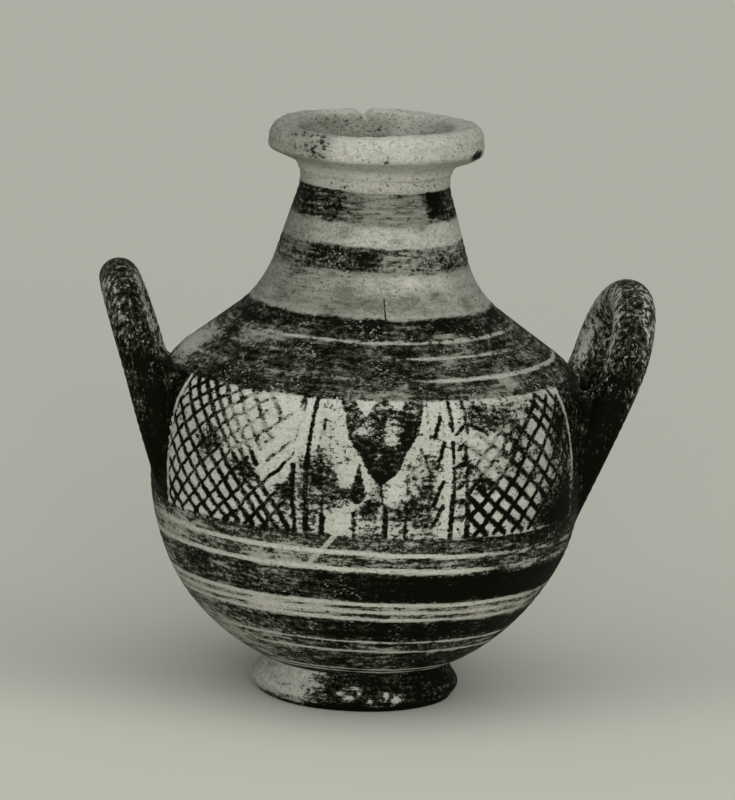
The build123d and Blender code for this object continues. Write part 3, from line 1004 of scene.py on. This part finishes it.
throat = neck_outside[-1]
throat_inside = neck_inside[-1]
lip_bottom = throat[1] + COLLAR_HEIGHT + LIP_UNDERSIDE_RISE
lip_top = lip_bottom + LIP_THICKNESS
mouth_outline = rounded_line(
    [
        throat,
        (throat[0], throat[1] + COLLAR_HEIGHT),
        (LIP_RADIUS - LIP_OUTER_LEAN, lip_bottom),
        (LIP_RADIUS + LIP_OUTER_LEAN, lip_top),
        (LIP_RADIUS - LIP_WIDTH, lip_top - LIP_TOP_DROP),
        (throat_inside[0], lip_top - FUNNEL_DEPTH),
        throat_inside,
    ],
    MOUTH_ROUNDING,
    FINE_ROW,
)


def worn_rim(points):
    """Lets the lip rise and fall round the mouth, with a notch in its back and a lump under its right.

    A thin ridge goes round the collar under it.
    """
    x, y, z = np.moveaxis(points, -1, 0)
    bearing = np.degrees(np.arctan2(x, -y))
    on_lip = fade(z, 188, 197)
    sag = 0.3 * np.sin(np.radians(2 * bearing + 30)) + 0.22 * np.sin(np.radians(5 * bearing))
    sag = sag + 0.7 * np.sin(np.radians(bearing)) + 0.1 * np.sin(np.radians(23 * bearing))
    notch = 1.9 * fade(np.abs((bearing - 3) % 360 - 180), 5.5, 0) * fade(z, 196, 200)
    lump = 1.1 * blot(bearing, z, (76, 191), (12, 2.6))
    ridge = 0.3 * np.exp(-(((z - 185.5) / 0.7) ** 2))
    radius = np.hypot(x, y)
    swell = 1 + np.where(radius > 24, ridge + 0.5 * lump, 0) / radius
    return np.stack([x * swell, y * swell, z + on_lip * sag - notch - lump], axis=-1)


def mouth_paint(bearing, height, radius):
    """Paint on the mouth: little but a smear on the lip's left, a chip on its right and the inside."""
    inside = fade(radius, 30, 25) * (0.2 + 0.1 * fade(np.abs(bearing - 20) % 360, 110, 150))
    smear = 0.46 * within(bearing, -62, -30, 7) * fade(height, 191, 195) * fade(radius, 31, 34)
    chip = 1.2 * blot(bearing, height, (65, 193), (7, 1.7)) * fade(radius, 33, 35)
    return np.maximum(np.maximum(0.02 + smear, inside), chip)


mouth_around = bearings(FRONT_AND_BACK, (420, 160))
mouth_grid = turned(mouth_outline, mouth_around)
mouth_bearing = signed(mouth_around)[None, :]
mouth_load = mouth_paint(mouth_bearing, mouth_outline[:, 1:], mouth_outline[:, :1])
# Darker inside the mouth, more so behind, with a little grime on the lip. The lip is also darker
# towards its sides, more on the left: painted shade where it turns away from the light.
mouth_behind = fade(np.cos(np.radians(mouth_bearing + 170)), 0.75, 0.95)
mouth_grime_and_shade = fade(mouth_outline[:, :1], 29, 25) * (0.22 + 0.32 * mouth_behind)
mouth_side = to_and_fro(mouth_bearing)
lip_side_shade = 0.4 * fade(mouth_side, -16, -60) + 0.16 * fade(mouth_side, 10, 50)
mouth_grime_and_shade = mouth_grime_and_shade + (0.1 + lip_side_shade) * fade(mouth_outline[:, 1:], 187, 193)
mouth = clay_piece("mouth_clay", hand_made(worn_rim(mouth_grid)), mouth_load, mouth_grime_and_shade)
RUBBED_SLIP = slip_material("rubbed_slip", 0.9, 0.24, WHEEL_STREAKS, CHIPS, ALL_HEIGHTS)
seat(mouth, "mouth", RUBBED_SLIP)

# Foot ring
# A low flaring ring turned apart and luted under the bowl, with a flat resting face. Its dark slip is
# rubbed off on the left and flaked in front.
FOOT_SEAT_RADIUS = 32.6
FOOT_WAIST = (33.5, 9.8)
FOOT_EDGE = (37.1, 4.8)
FOOT_REST = (33.8, 0.0)
FOOT_REST_INSIDE = (28.4, 0.0)
FOOT_BORE_RADIUS = 25.0
FOOT_BEVEL = 0.5
FOOT_LEDGE = 4
FOOT_SINK = 1.0
FOOT_ROUNDING = [1.0, 2.0, 2.4, 7.0]
FOOT_GRIME = 0.18


def bowl_height(radius):
    """Height of the bowl's outside at a radius."""
    flat, arc = BOWL[0][0], BOWL[1][0]
    return FLOOR_HEIGHT + arc - np.sqrt(arc**2 - (radius - flat) ** 2)


foot_outline = rounded_line(
    [
        (FOOT_BORE_RADIUS + FOOT_BEVEL, bowl_height(FOOT_BORE_RADIUS) - 1),
        FOOT_REST_INSIDE,
        FOOT_REST,
        FOOT_EDGE,
        FOOT_WAIST,
        (FOOT_SEAT_RADIUS - 0.2, bowl_height(FOOT_SEAT_RADIUS) + FOOT_SINK),
    ],
    FOOT_ROUNDING,
    FINE_ROW,
)


def foot_paint(bearing, height):
    """Paint of the foot: rubbed off on the left, dark with flakes gone in front and on the right."""
    paint = 0.24 + 0.84 * fade(to_and_fro(bearing), -48, -2) + 0 * height
    paint = paint + 0.6 * fade(height, 3.2, 0.8)
    flakes = (
        ((-14, 6.6), (2.4, 0.9), 0.9),
        ((-9, 5.2), (3.4, 1.3), 0.9),
        ((-3, 6.8), (2, 0.9), 0.85),
        ((-4, 8.6), (7, 0.7), 0.8),
        ((12, 6.2), (1.6, 1.4), 0.8),
        ((17.6, 4.8), (2.2, 2), 0.9),
        ((3, 4.6), (2, 0.9), 0.7),
        ((8, 2.4), (8, 0.5), 0.6),
    )
    return rubbed(paint, bearing, height, flakes)


foot_around = bearings(FRONT_AND_BACK, (360, 140))
foot_section = np.vstack(
    [
        foot_outline,
        [(FOOT_BORE_RADIUS + FOOT_LEDGE, bowl_height(FOOT_BORE_RADIUS + FOOT_LEDGE) + FOOT_SINK)],
        [(FOOT_BORE_RADIUS + FOOT_BEVEL, bowl_height(FOOT_BORE_RADIUS) + FOOT_SINK)],
    ]
)
foot_load = foot_paint(signed(foot_around)[None, :], foot_section[:, 1:])
foot_grid = hand_made(turned(foot_section, foot_around))
foot = clay_piece("foot_ring_clay", foot_grid, foot_load, FOOT_GRIME + 0 * foot_load)
seat(foot, "foot_ring", PAINTED_SLIP)

# Lifting handles
# Each is a rolled coil of clay bent to an upright loop that leans out from the belly. Its two legs are
# pressed on the wall, and a collar of soft clay is smoothed round each root.
HANDLE_SPACING = 0.9
HANDLE_SIDES = 72
PRESS_DEPTH = 2.0
LEG_LENGTH = 80.0
ROOT_START = 5.0
ROOT_CURVE = 0.0005
ROOT_DRAW = 0.35
ROOT_THINNING = 0.3
ROOT_NARROWING = 0.04
COIL_WAVE = 0.03
LUTING_REACH = 2.6
LUTING_GRIME = 0.2
LUTING_ROWS = 14
LUTING_DEPTH = 1.2
wall_outside = np.vstack([bowl_outside, shoulder_outside[1:], neck_outside[1:]])


def wall_radius(height):
    """Radius of the body's outside at a height."""
    return np.interp(height, wall_outside[:, 1], wall_outside[:, 0])


def pressed_on(points):
    """Moves points that lie deep in the wall out to the depth that a root is pressed in."""
    x, y, z = np.moveaxis(points, -1, 0)
    radius = np.maximum(np.hypot(x, y), 1)
    out = np.maximum((wall_radius(z) - PRESS_DEPTH) / radius, 1)
    return np.stack([x * out, y * out, z], axis=-1)


def unit(vectors):
    """Vectors brought to a length of one."""
    return vectors / np.linalg.norm(vectors, axis=-1, keepdims=True)


def coil(path, across, thickness, width):
    """Coil of clay along a path: ovals square to it, the thickness across a direction and the path."""
    along = unit(np.gradient(path, axis=0))
    sideways = unit(np.cross(across, along))
    outward = np.cross(along, sideways)
    angle = np.linspace(0, 2 * np.pi, HANDLE_SIDES, endpoint=False)[None, :, None]
    first = np.cos(angle) * (sideways * thickness[:, None] / 2)[:, None]
    second = np.sin(angle) * (outward * width[:, None] / 2)[:, None]
    return path[:, None] + first + second


def luting_ring(tube, reach, web):
    """Ring of clay smoothed into the corner between the wall and a coil that rises from it.

    On each line along the coil, the corner is where it leaves the wall. A curve with its control point
    there runs from the wall to the coil, starting and ending a reach from the corner, and further by a
    web where the coil faces the wall. The ring closes under it.
    """
    columns = np.arange(tube.shape[1])
    x, y, z = np.moveaxis(tube, -1, 0)
    proud = np.hypot(x, y) - wall_radius(z)
    row = np.argmax(proud > 0, axis=0)
    before, after = proud[row - 1, columns], proud[row, columns]
    corner_row = row - after / (after - before)
    step = np.linalg.norm(tube[row + 1, columns] - tube[row, columns], axis=1)

    def on_coil(rows):
        low = rows.astype(int)
        share = (rows - low)[:, None]
        return tube[low, columns] * (1 - share) + tube[low + 1, columns] * share

    corner = on_coil(corner_row)
    middle = tube.mean(axis=1)[row]
    radial = unit(corner * (1, 1, 0))
    facing = unit(corner - middle)
    towards_wall = np.maximum(-np.sum(facing * radial, axis=1), 0)
    length = reach + web * towards_wall**2
    top = on_coil(corner_row + length / step)
    away = unit(facing - radial * np.sum(facing * radial, axis=1)[:, None])
    foot_edge = corner + away * length[:, None]
    scale = wall_radius(foot_edge[:, 2]) / np.hypot(foot_edge[:, 0], foot_edge[:, 1])
    foot_edge[:, :2] *= scale[:, None]
    share = np.linspace(0, 1, LUTING_ROWS)[:, None, None]
    curve = foot_edge * (1 - share) ** 2 + corner * 2 * share * (1 - share) + top * share**2
    inward = -facing * LUTING_DEPTH
    under = np.stack([top + inward, corner + inward - radial, foot_edge - radial * LUTING_DEPTH])
    return np.vstack([curve, under])


def handle_paint(points, path):
    """Paint of a handle: dark all over, rubbed at its top, on its far leg and along both edges.

    An edge is where the coil faces towards the jar's axis or away from it. The right handle is rubbed
    more on its upper half, and the left one at its top.
    """
    x, y, z = np.moveaxis(points, -1, 0)
    facing = unit(points - path[:, None])
    radial = unit(path * (1, 1, 0))[:, None]
    inward = -np.sum(facing * radial, axis=-1)
    right = fade(x, 10, 30)
    far = fade(y, 3, 12)
    rub = 0.16 * fade(z, 118, 140) + 0.12 * fade(y, 5, 18) * fade(z, 100, 116)
    inner = 0.34 * fade(inward, 0.45, 0.95) * fade(z, 98, 112)
    rub = rub + inner * (1 - 0.7 * far * fade(z, 122, 134))
    rub = rub + 0.18 * fade(inward, -0.2, -0.7) * within(z, 96, 142, 8)
    rub = rub + 0.22 * fade(inward, -0.3, -0.8) * within(z, 102, 115, 4)
    rub = rub + right * (0.12 * fade(z, 100, 116) + 0.26 * far * within(z, 102, 120, 6))
    rub = rub + 0.05 * (1 - right) * within(z, 133, 147, 4)
    return 1.3 - 0.28 * fade(z, 106, 128) - rub


COIL_STREAKS = (1.4, 1.4, 0.5)
COIL_CHIPS = (1.0, 1.0, 0.65)
DARK_COIL = slip_material("dark_slip", 0.8, 0.18, COIL_STREAKS, COIL_CHIPS, ALL_HEIGHTS)


def seat_luting(node, ring, rub):
    """Puts a luting in place, dark as the handle that it holds, with a rub high in the handle's gap."""
    load = 1.16 - (rub + 0.1) * fade(ring[..., 2], 105, 113)
    piece = clay_piece(f"{node}_clay", hand_made(ring), load, LUTING_GRIME + 0 * load)
    seat(piece, node, DARK_COIL)


def lifting_handle(side, azimuth, tilt, span, top_height, top_radius, diameter, web, set_back):
    """One lifting handle and its two lutings.

    In the loop's own plane the coil's line runs up the rear leg, round half a circle and down the
    front leg. The plane leans out by the tilt, the handle's azimuth is its bearing, and the whole loop
    is set back a little along the wall. Low on the legs the line leaves the plane for the wall, by a
    share of the square of the way down, while the legs draw together and the coil thins towards its
    ends.
    """
    leg = (LEG_LENGTH, 0)
    flat = wall_line(
        (span / 2, -LEG_LENGTH), 90, [leg, (span / 2, 180), leg], 0, HANDLE_SPACING
    )
    turn, lean = np.radians(azimuth), np.radians(tilt)
    out = np.array([np.sin(turn), -np.cos(turn), 0])
    rear = np.array([np.cos(turn), np.sin(turn), 0]) * np.sign(azimuth)
    up = out * np.sin(lean) + np.array([0, 0, np.cos(lean)])
    across = np.cross(rear, up)
    top = out * top_radius + np.array([0, 0, top_height - diameter / 2])
    inward = across * -np.sign(across @ out)
    sunk = ROOT_CURVE * np.maximum(-flat[:, 1:] - ROOT_START, 0) ** 2
    root = fade(-flat[:, 1], ROOT_START, LEG_LENGTH)
    drawn_in = flat[:, :1] * (1 - ROOT_DRAW * root[:, None]) + set_back
    path = top - up * span / 2 + drawn_in * rear + flat[:, 1:] * up + sunk * inward
    share = np.linspace(-1, 1, len(path))
    thickness = diameter * (1 + COIL_WAVE * np.sin(9 * share) - ROOT_THINNING * root)
    width = diameter * (1 + COIL_WAVE * np.cos(7 * share + azimuth) - ROOT_NARROWING * root)
    tube = coil(path, across, thickness, width)
    pressed = pressed_on(tube)
    load = handle_paint(pressed, path)
    piece = clay_piece(f"{side}_handle_clay", hand_made(pressed), load, 0 * load, joined=False)
    seat(piece, f"{side}_handle", DARK_COIL)
    half = len(path) // 2
    for place, from_root, rub in (("rear", tube, 0.5), ("front", tube[::-1, ::-1], 0.1)):
        ring = luting_ring(from_root[:half], LUTING_REACH, web)
        seat_luting(f"{side}_handle_{place}_luting", ring, rub)


lifting_handle(
    "left",
    azimuth=-92.0,
    tilt=15.9,
    span=47.0,
    top_height=150.4,
    top_radius=86.9,
    diameter=14.3,
    web=9.0,
    set_back=3.5,
)
lifting_handle(
    "right",
    azimuth=94.4,
    tilt=19.6,
    span=46.0,
    top_height=147.2,
    top_radius=92.4,
    diameter=14.6,
    web=19.0,
    set_back=0.0,
)

# Pouring handle
# An oval strap of clay behind, from the neck out and down to the shoulder, luted at both ends. From the
# painted front the neck hides it.
STRAP_WIDTH = 18.0
STRAP_THICKNESS = 10.0
STRAP_NECK_HEIGHT = 163.0
STRAP_RISE = 20.0
STRAP_ARM = 10.0
STRAP_BEND = 15.0
STRAP_LEG = 31.0
STRAP_LUTING_REACH = 4.0
STRAP_GRIME = 0.2
strap_start = (wall_radius(STRAP_NECK_HEIGHT) - PRESS_DEPTH - 1, STRAP_NECK_HEIGHT - 1)
strap_line = wall_line(
    strap_start,
    STRAP_RISE,
    [(STRAP_ARM + PRESS_DEPTH, 0), (STRAP_BEND, -90 - STRAP_RISE), (STRAP_LEG, 0)],
    0,
    HANDLE_SPACING,
)
strap_path = np.stack([0 * strap_line[:, 0], strap_line[:, 0], strap_line[:, 1]], axis=-1)
strap_size = np.ones(len(strap_path))
strap = coil(
    strap_path, np.array([1.0, 0, 0]), STRAP_THICKNESS * strap_size, STRAP_WIDTH * strap_size
)
strap_pressed = pressed_on(strap)
strap_load = handle_paint(strap_pressed, strap_path)
strap_grime = STRAP_GRIME + 0 * strap_load
strap_piece = clay_piece(
    "back_handle_clay", hand_made(strap_pressed), strap_load, strap_grime, joined=False
)
seat(strap_piece, "back_handle", DARK_COIL)
strap_half = len(strap_path) // 2
for place, from_root in (("top", strap), ("bottom", strap[::-1, ::-1])):
    strap_ring = luting_ring(from_root[:strap_half], STRAP_LUTING_REACH, 0.0)
    seat_luting(f"back_handle_{place}_luting", strap_ring, 0.1)

# Floor
# A pale sheet of card that the jar stands on, which runs on out of view behind it. Its colour turns
# paler in front of the jar than behind: painted light on the floor in front.
FLOOR_REACH = 6.0
CARD_BEHIND = (0.51, 0.513, 0.446, 1)
CARD_IN_FRONT_PAINTED_LIGHT = (0.59, 0.593, 0.516, 1)
BEHIND_ENDS = 0.05
FRONT_STARTS = -0.07
floor_mesh = bpy.data.meshes.new("floor")
floor_corners = [(-FLOOR_REACH, -FLOOR_REACH, 0), (FLOOR_REACH, -FLOOR_REACH, 0)]
floor_corners += [(FLOOR_REACH, FLOOR_REACH, 0), (-FLOOR_REACH, FLOOR_REACH, 0)]
floor_mesh.from_pydata(floor_corners, [], [(0, 1, 2, 3)])
floor = bpy.data.objects.new("floor", floor_mesh)
bpy.context.scene.collection.objects.link(floor)
card = bpy.data.materials.new("pale_card_with_painted_light")
card.use_nodes = True
card_tree = card.node_tree
card_shader = card_tree.nodes["Principled BSDF"]
card_place = shader_node(card_tree, "ShaderNodeTexCoord").outputs["Object"]
card_depth = shader_node(card_tree, "ShaderNodeSeparateXYZ", {0: card_place}).outputs["Y"]
# Painted light: the card's colour is paler in front of the jar than behind it.
card_painted_light_share = mapped(card_tree, card_depth, BEHIND_ENDS, FRONT_STARTS, kind="SMOOTHSTEP")
card_color_with_painted_light = blend(card_tree, card_painted_light_share, CARD_BEHIND, CARD_IN_FRONT_PAINTED_LIGHT)
card_tree.links.new(card_color_with_painted_light, card_shader.inputs["Base Color"])
card_shader.inputs["Roughness"].default_value = 1.0
card_shader.inputs["Specular IOR Level"].default_value = 0.0
floor_mesh.materials.append(card)

# Light
# A very broad key from above in front, a narrower fill from beside the camera, and an even light all
# round.
EVEN_LIGHT = 0.37
for name, energy, spread, source in (
    ("key", 1.5, 95, (0.07, -0.58, 0.8)),
    ("fill", 1.6, 30, (-0.02, -0.95, 0.16)),
):
    lamp_data = bpy.data.lights.new(name, "SUN")
    lamp_data.energy = energy
    lamp_data.angle = np.radians(spread)
    lamp = bpy.data.objects.new(name, lamp_data)
    lamp.rotation_euler = Vector(source).to_track_quat("Z", "Y").to_euler()
    bpy.context.scene.collection.objects.link(lamp)
world = bpy.data.worlds.new("even_light")
world.use_nodes = True
world.node_tree.nodes["Background"].inputs["Color"].default_value = (1, 1, 1, 1)
world.node_tree.nodes["Background"].inputs["Strength"].default_value = EVEN_LIGHT
bpy.context.scene.world = world

# Camera
# A long lens a little above the jar and left of its front, tipped as the print is.
VIEW_AZIMUTH = np.radians(-6)
VIEW_ELEVATION = np.radians(11)
VIEW_ROLL = np.radians(2.5)
VIEW_DISTANCE = 2.3
SENSOR_HEIGHT = 36
LENS = 296.6
VIEW_AIM = Vector((0.0002, 0, 0.1037))
towards = Vector(
    (
        np.sin(VIEW_AZIMUTH) * np.cos(VIEW_ELEVATION),
        -np.cos(VIEW_AZIMUTH) * np.cos(VIEW_ELEVATION),
        np.sin(VIEW_ELEVATION),
    )
)
camera_data = bpy.data.cameras.new("camera")
camera_data.sensor_fit = "VERTICAL"
camera_data.sensor_height = SENSOR_HEIGHT
camera_data.lens = LENS
camera = bpy.data.objects.new("camera", camera_data)
level_right = Vector((np.cos(VIEW_AZIMUTH), np.sin(VIEW_AZIMUTH), 0))
level_up = towards.cross(level_right)
right = level_right * np.cos(VIEW_ROLL) + level_up * np.sin(VIEW_ROLL)
axes = Matrix((right, towards.cross(right), towards)).transposed().to_4x4()
camera.matrix_world = Matrix.Translation(VIEW_AIM + towards * VIEW_DISTANCE) @ axes
bpy.context.scene.collection.objects.link(camera)
bpy.context.scene.camera = camera
bpy.context.scene.view_settings.view_transform = "Standard"
